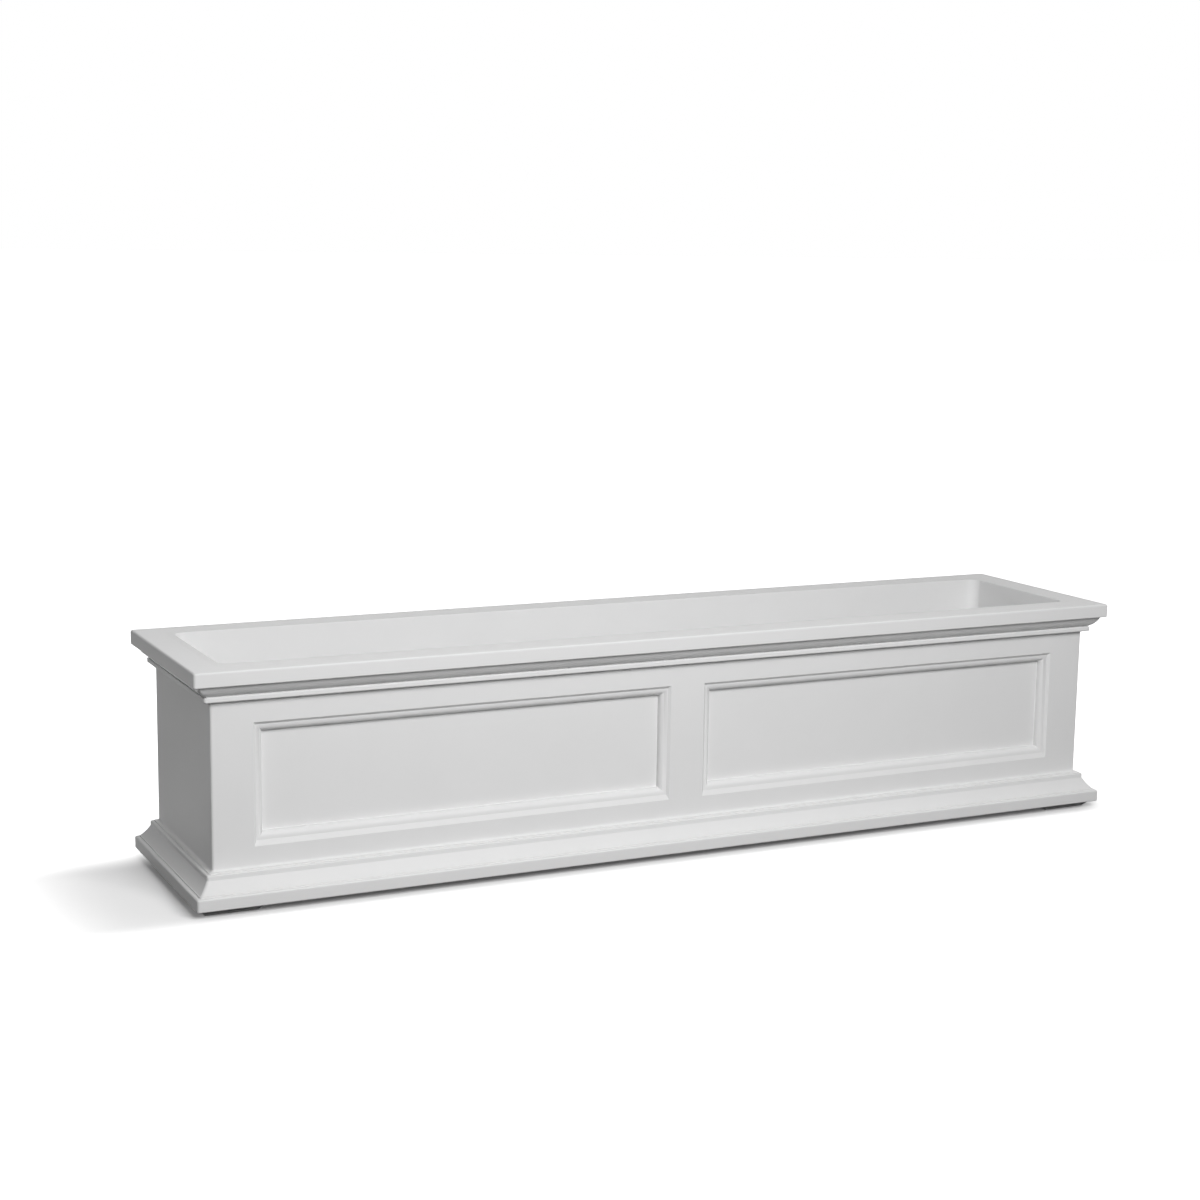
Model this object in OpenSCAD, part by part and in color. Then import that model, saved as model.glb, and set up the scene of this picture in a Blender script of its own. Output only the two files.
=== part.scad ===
// Double-walled window box with a cornice, a stepped base and two recessed front panels.
// X runs along the length, Y towards the rear and Z up. The origin is on the floor, in the
// middle of the footprint. An inset is a distance inwards from the outermost upright faces.

/* [Overall size] */
// Length over the cornice
box_l = 1219.2; // [915:0.1:1525]
// Depth over the cornice, front to rear
box_w = 279.4; // [255:0.1:330]
// Height from the floor to the sill
box_h = 274.3; // [255:0.1:320]
// Thickness of the moulded walls
wall_t = 3.5; // [2.5:0.5:4]
// Radius of the upright outer corners
corner_r = 3; // [2:0.5:6]

/* [Cornice] */
// How far the cornice and the base stand out from the plain wall
reach = 23.6; // [22:0.1:25]
// Height of the upright face under the sill
slab_h = 17.3; // [15:0.1:22]
// Radius of the sill's outer edge
slab_r = 2.5; // [1:0.1:4]
// Width of the underside behind the upright face
slab_lip = 5.7; // [4:0.1:7]
// Height of the bowed slope below it
slope_h = 13.9; // [12:0.1:17]
// How far the slope bows out from a straight line
slope_bow = 2.4; // [1.5:0.1:2.8]
// Inset of the bead's face
bead_inset = 15.3; // [14:0.1:17]
// Height of the bead at the foot of the cornice
bead_h = 7.1; // [6:0.1:9]
// Radius of the bead's lower edge
bead_r = 2; // [1:0.1:3]

/* [Base] */
// Height of the plinth's upright face
plinth_h = 16.3; // [14:0.1:20]
// Width of the ledge on the plinth
ledge_w = 5.2; // [4:0.1:6]
// Rise of the ledge, which sheds water
ledge_rise = 1; // [0.5:0.1:2]
// Height of the hollow slope above the ledge
bevel_h = 12.4; // [11:0.1:15]
// How far the slope hollows in from a straight line
bevel_hollow = 0.6; // [0.2:0.1:1]
// Height of the cap above the slope
cap_h = 6.8; // [6:0.1:9]
// Radius of the cap's upper edge
cap_r = 1.8; // [1:0.1:3]
// Radius of the hollow between the cap and the wall
wall_foot_r = 3; // [1:0.1:4]

/* [Front panels] */
// Plain wall between the two panels
panel_gap = 44.8; // [30:0.1:80]
// From the end of the box to the nearest panel
panel_end = 71.7; // [50:0.1:100]
// From the base's cap to the lower edge of the panels
panel_low = 24.6; // [12:0.1:30]
// From the upper edge of the panels to the cornice
panel_high = 25.8; // [12:0.1:30]
// Depth of the bevelled step round each panel
step_d = 3; // [2:0.1:4]
// Width of that step at the top and sides
step_w = 3.1; // [2:0.1:5]
// Width of that step at the bottom, where it sheds water
step_low = 6.2; // [4:0.1:8]
// Width of the rounded moulding inside the step
round_w = 8.6; // [7:0.1:10]
// Depth of that moulding
round_d = 7.7; // [6:0.1:8]
// Radius of the hollow where the moulding meets the panel
panel_foot_r = 1.2; // [0.5:0.1:2]

/* [Trough] */
// Width of the sill from the outer face to the opening
sill_w = 40.5; // [40:0.1:48]
// How far the trough's walls lean in from top to bottom
trough_lean = 12; // [9:0.1:18]
// Width of the rim that lies in the sill's rebate
rim_w = 6; // [4:0.1:6]
// Clearance round the rim and under it
rim_gap = 0.2; // [0.1:0.05:0.3]
// Free height between the two floors
floor_gap = 23; // [20:0.5:35]
// Radius of the trough's upright corners
corner_in_r = 15; // [8:1:24]
// Radius between the trough's walls and floor
trough_r = 8; // [4:0.5:12]
// Width at the top of each cone that props the trough
prop_top_d = 34; // [26:1:44]
// Spacing of the props along the box
prop_pitch = 230; // [200:1:240]
// Radius of the trough's edge at the sill
sill_edge_r = 1.5; // [0.5:0.5:2]

/* [Feet] */
// Height of the feet
foot_h = 9; // [7:0.5:16]
// Length of a foot where it meets the floor
foot_l = 60; // [50:1:90]
// Width of a foot where it meets the floor
foot_w = 40; // [30:1:50]
// How far each side of a foot flares out towards its top
foot_flare = 8; // [4:0.5:10]
// From the end of the box to the foot, on the floor
foot_end = 13; // [11:0.5:30]
// From the front or rear of the box to the foot, on the floor
foot_side = 16.4; // [12:0.1:20]
// Distance between the two screws of a foot
foot_screw_pitch = 34; // [26:1:44]

/* [Fasteners] */
// Diameter of the foot screws
screw_d = 4.5; // [4:0.1:5]
// How far the foot screws bite into the shell
screw_bite = 10; // [7:1:12]
// Distance between the threaded inserts along the box
insert_pitch_l = 812.8; // [600:0.1:820]
// Distance between the threaded inserts across the box
insert_pitch_w = 120; // [90:1:130]
// Outer diameter of an insert
insert_d = 9; // [8:0.5:11]
// Bore of an insert, for a 6 mm thread
insert_bore = 5; // [4.2:0.1:5.2]
// Length of an insert
insert_l = 14; // [10:1:16]

/* [Watering] */
// Height of the soil shelves above the trough's floor
shelf_lift = 52; // [45:1:80]
// Thickness of the soil shelves
shelf_t = 3; // [2:0.5:4]
// Gap between a soil shelf and the trough's walls
shelf_gap = 1.5; // [1:0.1:3]
// Gap under the shelves' legs
seat_gap = 0.1; // [0.05:0.05:0.3]
// Depth of the rim and ribs under a shelf
rib_d = 10; // [6:1:12]
// Outer diameter of a shelf leg
leg_d = 16; // [12:1:20]
// Diameter of the drain holes in the shelves
hole_d = 8; // [5:0.5:9]
// Spacing of those holes along the shelf
hole_pitch = 34; // [30:1:40]
// Diameter of the two finger holes in a shelf
finger_d = 25; // [20:1:28]
// Outer diameter of the overflow tubes
tube_d = 20; // [16:1:24]
// Gap between an overflow tube's head and the ribs of the shelf
tube_gap = 4; // [3:0.5:10]
// Width of the slots under that head
slot_w = 6; // [4:0.5:8]
// Height of those slots
slot_h = 8; // [5:0.5:12]
// Running clearance of tubes, screws and inserts in their holes
fit_gap = 0.05; // [0.02:0.01:0.1]

/* [Hidden] */
round_fn = 64;
past = 1;
arc_steps = 4;
white = [0.93, 0.93, 0.92];
grey_plastic = [0.45, 0.46, 0.47];
black_rubber = [0.12, 0.12, 0.12];
steel = [0.7, 0.71, 0.72];
brass = [0.78, 0.62, 0.3];

plinth_edge_r = 1.5;
plinth_z = foot_h + plinth_h;
ledge_z = plinth_z + ledge_rise;
cap_z = ledge_z + bevel_h;
cap_top = cap_z + cap_h;
cap_slope = 1;
slab_z = box_h - slab_h;
slope_z = slab_z - slope_h;
bead_z = slope_z - bead_h;

floor_z = foot_h + wall_t;
trough_z = floor_z + floor_gap;
bed_z = trough_z + wall_t;
rebate_z = box_h - wall_t;
rim_inset = sill_w - wall_t - rim_w;
ledge_inset = sill_w - wall_t - rim_gap;

panel_depth = step_d + round_d + panel_foot_r;
panel_bottom = cap_top + panel_low;
panel_top = bead_z - panel_high;
panel_l = (box_l - panel_gap) / 2 - panel_end;

foot_x = box_l / 2 - foot_end - foot_l / 2;
foot_y = box_w / 2 - foot_side - foot_w / 2;
screw_head_d = 2 * screw_d;
screw_head_h = (screw_head_d - screw_d) / 2;
screw_sink = 1;
screw_tip_h = 3;
screw_tip_d = 1.5;
boss_wall = 3.5;
boss_h = 4;
boss_top = foot_h + screw_bite + boss_h;

prop_lean = 11;
prop_count = floor((box_l / 2 - trough_inset(bed_z) - prop_top_d) / prop_pitch);
shelf_z = bed_z + shelf_lift;
shelf_under = shelf_z - shelf_t;
rib_t = 2.5;
shelf_inset = trough_inset(shelf_under - rib_d) + shelf_gap;
shelf_l = box_l / 2 - shelf_inset;
shelf_w = box_w - 2 * shelf_inset;
shelf_split = 1;
leg_side = 26;
leg_y = shelf_w / 2 - leg_side;
hole_rows = 4;
hole_columns = floor((shelf_l / 2 - leg_side) / hole_pitch);
leg_middle = round(hole_columns / 2);
leg_columns = [-hole_columns, -leg_middle, 0, leg_middle, hole_columns];
finger_x = (leg_middle + hole_columns) / 2 * hole_pitch;
tube_wall = 2.5;
tube_head_t = 2.5;
tube_flange_w = 7;
tube_flange_h = 2;
tube_top = shelf_under - rib_d - tube_gap;
tube_x = 1.5 * prop_pitch;
grommet_lip = 4;
grommet_lip_h = 2;
grommet_slope = 1;
grommet_wall = 3;

// Inset of the trough's inner face at height z.
function trough_inset(z) = sill_w + trough_lean * (box_h - z) / (box_h - bed_z);

// Points on an arc about c, from angle a to angle b, in the plane of inset and height.
function arc(c, r, a, b) = [for (i = [0 : arc_steps])
    c + r * [cos(a + (b - a) * i / arc_steps), sin(a + (b - a) * i / arc_steps)]];

// Points from p to q that bow to the left of a straight line by sag.
function bow(p, q, sag) = let (d = q - p, n = [-d[1], d[0]] / norm(d))
    [for (i = [0 : 2 * arc_steps]) let (s = i / (2 * arc_steps)) p + s * d + 4 * sag * s * (1 - s) * n];

// A list of [inset, height] points becomes a closed outline, half wide to each side.
function outline(side, half) = concat(
    [for (p = side) [half - p[0], p[1]]],
    [for (i = [len(side) - 1 : -1 : 0]) [side[i][0] - half, side[i][1]]]);

// The outer profile from the plinth's underside to the sill.
outer_side = concat(
    arc([plinth_edge_r, foot_h + plinth_edge_r], plinth_edge_r, 270, 180),
    arc([slab_r, plinth_z - slab_r], slab_r, 180, 90),
    bow([ledge_w, ledge_z], [bead_inset, cap_z], -bevel_hollow),
    arc([bead_inset + cap_r, cap_top - cap_r], cap_r, 180, 90),
    arc([reach - wall_foot_r, cap_top + cap_slope + wall_foot_r], wall_foot_r, 270, 360),
    [[reach, bead_z]],
    arc([bead_inset + bead_r, bead_z + bead_r], bead_r, 270, 180),
    bow([bead_inset, slope_z], [slab_lip, slab_z], slope_bow),
    arc([plinth_edge_r, slab_z + plinth_edge_r], plinth_edge_r, 270, 180),
    arc([slab_r, box_h - slab_r], slab_r, 180, 90));

// The hollow inside the outer skin, one wall thickness in from that profile.
slope_shift = 0.8 * wall_t;
slope_drop = 0.6 * wall_t;
cavity_side = [
    [wall_t, floor_z], [wall_t, plinth_z - wall_t],
    [ledge_w + slope_shift / 2, ledge_z - wall_t],
    [bead_inset + slope_shift, cap_z - slope_drop],
    [bead_inset + wall_t, cap_z], [bead_inset + wall_t, cap_top - wall_t],
    [reach + wall_t, cap_top - wall_t / 2], [reach + wall_t, bead_z + wall_t],
    [bead_inset + wall_t, bead_z + wall_t], [bead_inset + wall_t, slope_z + slope_drop],
    [slab_lip + slope_shift, slab_z + slope_drop], [wall_t, slab_z + wall_t], [wall_t, rebate_z]];

// A solid with the profile on all four sides, mitred, its upright corners rounded by two flats.
module mitred(side, r) {
    intersection() {
        rotate([90, 0, 0])
            linear_extrude(box_w + past, center = true) polygon(outline(side, box_l / 2));
        rotate([90, 0, 90])
            linear_extrude(box_l + past, center = true) polygon(outline(side, box_w / 2));
        corner_flat(side, r, 0.8, 0.6, 1);
        corner_flat(side, r, 0.8, 0.6, -1);
        corner_flat(side, r, 0.6, 0.8, 1);
        corner_flat(side, r, 0.6, 0.8, -1);
    }
}

// The same profile between two slanting sides that touch the corner arcs: c and s are the
// cosine and the sine of their direction.
module corner_flat(side, r, c, s, turn) {
    half = c * box_l / 2 + s * box_w / 2 - r * (c + s - 1);
    slant = [for (p = side) [p[0] * (c + s), p[1]]];
    rotate([90, 0, turn * acos(c)])
        linear_extrude(box_l + box_w, center = true) polygon(outline(slant, half));
}

// A straight-sided piece of the same plan.
module frame_block(inset, low, high, r) {
    mitred([[inset, low], [inset, high]], r);
}

// A stepped recess or its backing: frame holds [width, depth] points from the wall inwards,
// and low holds the same points with the widths of the lower edge.
module panel_form(frame, low) {
    y = reach - box_w / 2;
    across = concat([for (p = frame) [p[0], y + p[1]]],
        [for (i = [len(frame) - 1 : -1 : 0]) [panel_l - frame[i][0], y + frame[i][1]]]);
    up = concat([for (p = low) [y + p[1], panel_bottom + p[0]]],
        [for (i = [len(frame) - 1 : -1 : 0]) [y + frame[i][1], panel_top - frame[i][0]]]);
    for (side = [-1, 1])
        translate([side * (panel_gap + panel_l) / 2 - panel_l / 2, 0, 0])
            intersection() {
                linear_extrude(box_h) polygon(across);
                rotate([90, 0, 90])
                    translate([0, 0, -panel_l]) linear_extrude(3 * panel_l) polygon(up);
            }
}

// Width and depth of the panel moulding for a step of width w.
function panel_side(w) = concat(
    [[0, -past], [0, 0], [w, step_d]],
    [for (i = [1 : 2 * arc_steps]) let (a = 90 * i / (2 * arc_steps))
        [w + round_w * sin(a), step_d + round_d * (1 - cos(a))]],
    [for (i = [1 : arc_steps]) let (a = 90 * i / arc_steps)
        [w + round_w + panel_foot_r * (1 - cos(a)), step_d + round_d + panel_foot_r * sin(a)]]);

module panel_recesses() {
    panel_form(panel_side(step_w), panel_side(step_low));
}

module panel_backs() {
    frame = [[-wall_t, 0], [-wall_t / 2, wall_t],
        [step_w + round_w - wall_t, panel_depth + wall_t]];
    panel_form(frame, frame);
}

// Where things repeat: both ends and both sides, the props, and the two screws of a foot.
module at_feet() {
    for (x = [-foot_x, foot_x], y = [-foot_y, foot_y]) translate([x, y, 0]) children();
}

module at_foot_screws() {
    for (x = [-1, 1] * foot_screw_pitch / 2) translate([x, 0, 0]) children();
}

module at_inserts() {
    for (x = [-1, 1] * insert_pitch_l / 2, y = [-1, 1] * insert_pitch_w / 2)
        translate([x, y, 0]) children();
}

module at_props() {
    for (i = [-prop_count : prop_count]) translate([i * prop_pitch, 0, 0]) children();
}

module at_tubes() {
    for (x = [-tube_x, tube_x]) translate([x, 0, 0]) children();
}

// The cone that rises from the shell's floor to prop the trough, and the hollow inside it.
module prop(inner) {
    h = trough_z - foot_h;
    top = prop_top_d - 2 * inner;
    translate([0, 0, foot_h - inner])
        cylinder(h = h, d1 = top + 2 * prop_lean, d2 = top, $fn = round_fn);
}

module shell_hollow() {
    difference() {
        mitred(cavity_side, corner_r);
        frame_block(rim_inset - rim_gap - wall_t, rebate_z - wall_t, rebate_z + past, corner_in_r);
        panel_backs();
        at_props() prop(0);
        at_feet() at_foot_screws()
            translate([0, 0, foot_h])
                cylinder(h = screw_bite + boss_h + wall_t, d = screw_d + 2 * boss_wall, $fn = round_fn);
        at_inserts() translate([0, 0, foot_h])
            cylinder(h = insert_l + wall_t, d = insert_d + 2 * boss_wall, $fn = round_fn);
    }
}

module outer_shell() {
    color(white) difference() {
        mitred(outer_side, corner_r);
        shell_hollow();
        frame_block(rim_inset - rim_gap, rebate_z, box_h + past, corner_in_r);
        frame_block(ledge_inset, rebate_z - 2 * wall_t, box_h + past, corner_in_r);
        panel_recesses();
        at_props() prop(wall_t);
        at_feet() at_foot_screws()
            cylinder(h = boss_top, d = screw_d + 2 * fit_gap, $fn = round_fn);
        at_inserts() translate([0, 0, foot_h - past])
            cylinder(h = insert_l + past, d = insert_d + 2 * fit_gap, $fn = round_fn);
        at_tubes() cylinder(h = floor_z + past, d = tube_d + 2 * fit_gap, $fn = round_fn);
    }
}

// The tub that holds the soil, hung by its rim in the sill's rebate and propped from below.
module inner_trough() {
    foot_inset = trough_inset(bed_z);
    skin = concat(
        arc([foot_inset - wall_t + trough_r, trough_z + trough_r], trough_r, 270, 180),
        [[sill_w - wall_t, box_h]]);
    inside = concat(
        arc([foot_inset + trough_r, bed_z + trough_r], trough_r, 270, 180),
        arc([sill_w - sill_edge_r, box_h - sill_edge_r], sill_edge_r, 0, 90),
        [[sill_w - sill_edge_r, box_h + past]]);
    color(white) difference() {
        union() {
            mitred(skin, corner_in_r);
            frame_block(rim_inset, rebate_z + rim_gap, box_h, corner_in_r);
        }
        mitred(inside, corner_in_r);
        at_tubes() translate([0, 0, trough_z - past])
            cylinder(h = wall_t + 2 * past, d = tube_d + 2 * grommet_wall, $fn = round_fn);
    }
}

// A tapered foot with two countersunk screw holes, its narrow face on the floor.
module foot() {
    long = foot_l / 2;
    wide = foot_w / 2;
    color(white) difference() {
        intersection() {
            rotate([90, 0, 0]) linear_extrude(box_w, center = true)
                polygon([[-long, 0], [long, 0], [long + foot_flare, foot_h], [-long - foot_flare, foot_h]]);
            rotate([90, 0, 90]) linear_extrude(box_w, center = true)
                polygon([[-wide, 0], [wide, 0], [wide + foot_flare, foot_h], [-wide - foot_flare, foot_h]]);
        }
        at_foot_screws() {
            translate([0, 0, -past]) cylinder(h = foot_h + 2 * past, d = screw_d + 2 * fit_gap, $fn = round_fn);
            translate([0, 0, -past])
                cylinder(h = screw_sink + past, d = screw_head_d + 2 * fit_gap, $fn = round_fn);
            translate([0, 0, screw_sink]) screw_cone(fit_gap);
        }
    }
}

module screw_cone(gap) {
    cylinder(h = screw_head_h, d1 = screw_head_d + 2 * gap, d2 = screw_d + 2 * gap, $fn = round_fn);
}

module foot_screws() {
    shank_top = foot_h + screw_bite - screw_tip_h;
    color(steel) at_feet() at_foot_screws() union() {
        translate([0, 0, screw_sink]) screw_cone(0);
        translate([0, 0, screw_sink]) cylinder(h = shank_top - screw_sink, d = screw_d, $fn = round_fn);
        translate([0, 0, shank_top])
            cylinder(h = screw_tip_h, d1 = screw_d, d2 = screw_tip_d, $fn = round_fn);
    }
}

module bracket_inserts() {
    color(brass) at_inserts() translate([0, 0, foot_h]) difference() {
        cylinder(h = insert_l, d = insert_d, $fn = round_fn);
        translate([0, 0, -past]) cylinder(h = insert_l + 2 * past, d = insert_bore, $fn = round_fn);
    }
}

// A tube pushed up through both floors: the slots under its closed head set the water level and
// keep soil out, and its flange closes the hole in the shell.
module overflow_tube(side) {
    slot_z = tube_top - tube_head_t - slot_h;
    color(grey_plastic) translate([side * tube_x, 0, 0]) difference() {
        union() {
            translate([0, 0, foot_h - tube_flange_h])
                cylinder(h = tube_flange_h, d = tube_d + 2 * tube_flange_w, $fn = round_fn);
            translate([0, 0, foot_h - tube_flange_h])
                cylinder(h = tube_top - foot_h + tube_flange_h, d = tube_d, $fn = round_fn);
        }
        cylinder(h = tube_top - tube_head_t, d = tube_d - 2 * tube_wall, $fn = round_fn);
        translate([-slot_w / 2, -tube_d, slot_z]) cube([slot_w, 2 * tube_d, slot_h]);
        translate([-tube_d, -slot_w / 2, slot_z]) cube([2 * tube_d, slot_w, slot_h]);
    }
}

// A rubber ring that seals the tube in the trough's floor.
module tube_grommet(side) {
    outer = tube_d / 2 + grommet_wall;
    bore = tube_d / 2 + fit_gap;
    color(black_rubber) translate([side * tube_x, 0, 0]) rotate_extrude($fn = round_fn) polygon([
        [bore, trough_z - grommet_lip_h], [outer + grommet_lip, trough_z - grommet_lip_h],
        [outer + grommet_lip, trough_z], [outer - fit_gap, trough_z], [outer - fit_gap, bed_z],
        [outer + grommet_lip, bed_z], [outer + grommet_lip - grommet_slope, bed_z + grommet_lip_h],
        [bore, bed_z + grommet_lip_h]]);
}

// One half of the perforated floor that keeps the soil above the water: a plate with a rim,
// cross ribs that join its legs in pairs, drain holes and two finger holes to lift it by.
module soil_shelf(side) {
    color(grey_plastic) difference() {
        union() {
            shelf_block(0, shelf_under, shelf_z, side);
            difference() {
                shelf_block(0, shelf_under - rib_d, shelf_z, side);
                shelf_block(rib_t, shelf_under - rib_d - past, shelf_z, side);
            }
            at_shelf(side) for (i = leg_columns)
                translate([i * hole_pitch - rib_t / 2, -shelf_w / 2 + rib_t / 2, shelf_under - rib_d])
                    cube([rib_t, shelf_w - rib_t, rib_d + shelf_t / 2]);
            at_shelf(side) at_legs() translate([0, 0, bed_z + seat_gap])
                cylinder(h = shelf_under - bed_z, d = leg_d, $fn = round_fn);
        }
        at_shelf(side) at_legs() cylinder(h = shelf_under, d = leg_d - 2 * rib_t, $fn = round_fn);
        at_shelf(side) shelf_holes();
    }
}

module at_shelf(side) {
    translate([side * (shelf_split + shelf_l / 2), 0, 0]) children();
}

module at_legs() {
    for (i = leg_columns, y = [-leg_y, leg_y]) translate([i * hole_pitch, y, 0]) children();
}

module shelf_block(inward, low, high, side) {
    intersection() {
        frame_block(shelf_inset + inward, low, high, corner_in_r);
        translate([side > 0 ? shelf_split + inward : -box_l / 2 - shelf_split - inward, -box_w / 2, 0])
            cube([box_l / 2, box_w, box_h]);
    }
}

module shelf_holes() {
    row = 2 * leg_y / (hole_rows - 1);
    for (i = [-hole_columns : hole_columns - 1], j = [0 : hole_rows - 1])
        translate([(i + 0.5) * hole_pitch, j * row - leg_y, shelf_under - past])
            cylinder(h = shelf_t + 2 * past, d = hole_d, $fn = round_fn);
    for (x = [-finger_x, finger_x]) translate([x, 0, shelf_under - past])
        cylinder(h = shelf_t + 2 * past, d = finger_d, $fn = round_fn);
}

outer_shell();
inner_trough();
translate([-foot_x, -foot_y, 0]) foot();  // foot_front_left
translate([foot_x, -foot_y, 0]) foot();  // foot_front_right
translate([-foot_x, foot_y, 0]) foot();  // foot_rear_left
translate([foot_x, foot_y, 0]) foot();  // foot_rear_right
foot_screws();
bracket_inserts();
overflow_tube(-1);  // overflow_tube_left
overflow_tube(1);  // overflow_tube_right
tube_grommet(-1);  // tube_grommet_left
tube_grommet(1);  // tube_grommet_right
soil_shelf(-1);  // soil_shelf_left
soil_shelf(1);  // soil_shelf_right
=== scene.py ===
import math

import bpy
from mathutils import Matrix, Vector


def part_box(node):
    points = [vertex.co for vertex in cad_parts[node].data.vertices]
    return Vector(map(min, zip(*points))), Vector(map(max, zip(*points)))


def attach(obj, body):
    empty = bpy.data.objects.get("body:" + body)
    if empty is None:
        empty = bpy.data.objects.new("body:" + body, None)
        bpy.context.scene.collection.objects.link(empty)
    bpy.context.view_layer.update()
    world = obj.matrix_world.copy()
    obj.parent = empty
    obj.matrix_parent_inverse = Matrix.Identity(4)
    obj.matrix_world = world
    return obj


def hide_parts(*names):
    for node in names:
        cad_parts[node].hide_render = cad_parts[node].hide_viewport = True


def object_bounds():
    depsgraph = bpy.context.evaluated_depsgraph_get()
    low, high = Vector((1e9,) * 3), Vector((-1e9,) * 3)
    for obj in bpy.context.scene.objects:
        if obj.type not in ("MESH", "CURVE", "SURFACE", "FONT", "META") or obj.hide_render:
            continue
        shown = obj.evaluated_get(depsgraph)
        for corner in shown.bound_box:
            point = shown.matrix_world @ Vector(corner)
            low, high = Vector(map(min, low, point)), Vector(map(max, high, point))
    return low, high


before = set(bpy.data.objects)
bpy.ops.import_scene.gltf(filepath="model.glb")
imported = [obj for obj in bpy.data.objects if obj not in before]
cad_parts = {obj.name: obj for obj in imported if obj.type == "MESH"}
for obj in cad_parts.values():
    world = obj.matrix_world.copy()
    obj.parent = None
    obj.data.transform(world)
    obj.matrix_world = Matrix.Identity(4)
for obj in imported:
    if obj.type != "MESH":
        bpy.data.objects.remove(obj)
cad_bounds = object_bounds()


# The camera stands in front of the box's left half, a little above it, and looks down its
# length towards the right end.
camera_place = Vector((-1.194, -2.319, 0.736))
camera_yaw = math.radians(26.006)
camera_pitch = math.radians(9.626)
camera_roll = math.radians(0.861)
view_axis = Vector((
    math.sin(camera_yaw) * math.cos(camera_pitch),
    math.cos(camera_yaw) * math.cos(camera_pitch),
    -math.sin(camera_pitch)))
level_right = Vector((math.cos(camera_yaw), -math.sin(camera_yaw), 0))
level_up = level_right.cross(view_axis)
camera_right = math.cos(camera_roll) * level_right + math.sin(camera_roll) * level_up
camera_up = math.cos(camera_roll) * level_up - math.sin(camera_roll) * level_right
bpy.ops.object.camera_add()
camera = bpy.context.object
camera.data.sensor_width = 36
camera.data.lens = 63.93
camera.data.clip_end = 200
camera.matrix_world = Matrix((
    (camera_right.x, camera_up.x, -view_axis.x, camera_place.x),
    (camera_right.y, camera_up.y, -view_axis.y, camera_place.y),
    (camera_right.z, camera_up.z, -view_axis.z, camera_place.z),
    (0, 0, 0, 1)))
bpy.context.scene.camera = camera
bpy.context.scene.view_settings.view_transform = "Standard"


# The studio: a broad pale floor, a wide soft lamp in front, and a dim room with paler backdrops to
# the sides and behind. Seen by the camera the floor is white paper with the soft shadow that the
# lamps cast. Around the box the floor's glow is held down in a painted shadow, which lies a little
# to the left and fades out soonest in front and behind.
floor_size = 160
# the second number is the floor's glow at the box's foot, where the painted shadow is darkest
floor_seen, painted_shadow_glow, floor_bounce = 1.1, 0.07, 0.04
shadow_shift = (-0.05, -0.02, 0)
shadow_core = (cad_bounds[1].x, 0.1, 0)
shadow_fall = (0.85, 2.2, 0)
shadow_reach = 0.22
room_grey = 0.04
# each backdrop: how far to the right of straight in front, how far up, both in degrees, and how
# bright
backdrops = [(-100, 14, 0.62), (170, 8, 1.8), (100, 8, 1.3), (125, 50, 0.3)]
backdrop_tightness = 6
lamp_turn, lamp_rise = math.radians(-4), math.radians(33)
lamp_reach, lamp_aim = 2.0, Vector((-0.1, -0.1, 0.14))
lamp_size, lamp_power = (1.3, 1.0), 38.5


def towards(turn, rise):
    # the direction that lies so far right of straight in front, and so far up
    return Vector((math.sin(turn) * math.cos(rise), -math.cos(turn) * math.cos(rise),
                   math.sin(rise)))


bpy.ops.mesh.primitive_plane_add(size=floor_size, location=shadow_shift)
floor = bpy.context.object
floor.name = "studio_floor"
paper = bpy.data.materials.new("white_paper")
paper.use_nodes = True
nodes, links = paper.node_tree.nodes, paper.node_tree.links
nodes.clear()
paper_out = nodes.new("ShaderNodeOutputMaterial")
paper_matt = nodes.new("ShaderNodeBsdfDiffuse")
paper_ray = nodes.new("ShaderNodeLightPath")
paper_seen = nodes.new("ShaderNodeMath")
paper_seen.operation = "MAXIMUM"
paper_tone = nodes.new("ShaderNodeMix")
paper_tone.data_type = "RGBA"
paper_tone.inputs["A"].default_value = (floor_bounce, floor_bounce, floor_bounce, 1)
paper_tone.inputs["B"].default_value = (floor_seen, floor_seen, floor_seen, 1)
links.new(paper_ray.outputs["Is Camera Ray"], paper_seen.inputs[0])
links.new(paper_ray.outputs["Is Glossy Ray"], paper_seen.inputs[1])
links.new(paper_seen.outputs[0], paper_tone.inputs["Factor"])
links.new(paper_tone.outputs["Result"], paper_matt.inputs["Color"])
# painted shadow: the floor's glow is least at the box and grows to full white over the shadow's
# reach, measured from a footprint shifted a little left and to the front and squeezed more front to
# back than end to end, so the shadow on the floor takes this painted shape
away = nodes.new("ShaderNodeTexCoord").outputs["Object"]
for operation, number in (("ABSOLUTE", None), ("SUBTRACT", shadow_core), ("MAXIMUM", (0, 0, 0)),
                          ("MULTIPLY", shadow_fall), ("LENGTH", None)):
    step = nodes.new("ShaderNodeVectorMath")
    step.operation = operation
    if number:
        step.inputs[1].default_value = number
    links.new(away, step.inputs[0])
    away = step.outputs["Value" if operation == "LENGTH" else "Vector"]
painted_shadow_fade = nodes.new("ShaderNodeMapRange")
painted_shadow_fade.interpolation_type = "SMOOTHSTEP"
painted_shadow_fade.inputs["From Max"].default_value = shadow_reach
painted_shadow_fade.inputs["To Min"].default_value = painted_shadow_glow
paper_glow = nodes.new("ShaderNodeEmission")
painted_shadow_glow_strength = nodes.new("ShaderNodeMath")
painted_shadow_glow_strength.operation = "MULTIPLY"
paper_both = nodes.new("ShaderNodeAddShader")
links.new(away, painted_shadow_fade.inputs["Value"])
links.new(painted_shadow_fade.outputs["Result"], painted_shadow_glow_strength.inputs[0])
links.new(paper_seen.outputs[0], painted_shadow_glow_strength.inputs[1])
links.new(painted_shadow_glow_strength.outputs[0], paper_glow.inputs["Strength"])
links.new(paper_matt.outputs["BSDF"], paper_both.inputs[0])
links.new(paper_glow.outputs["Emission"], paper_both.inputs[1])
links.new(paper_both.outputs[0], paper_out.inputs["Surface"])
floor.data.materials.append(paper)

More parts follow.
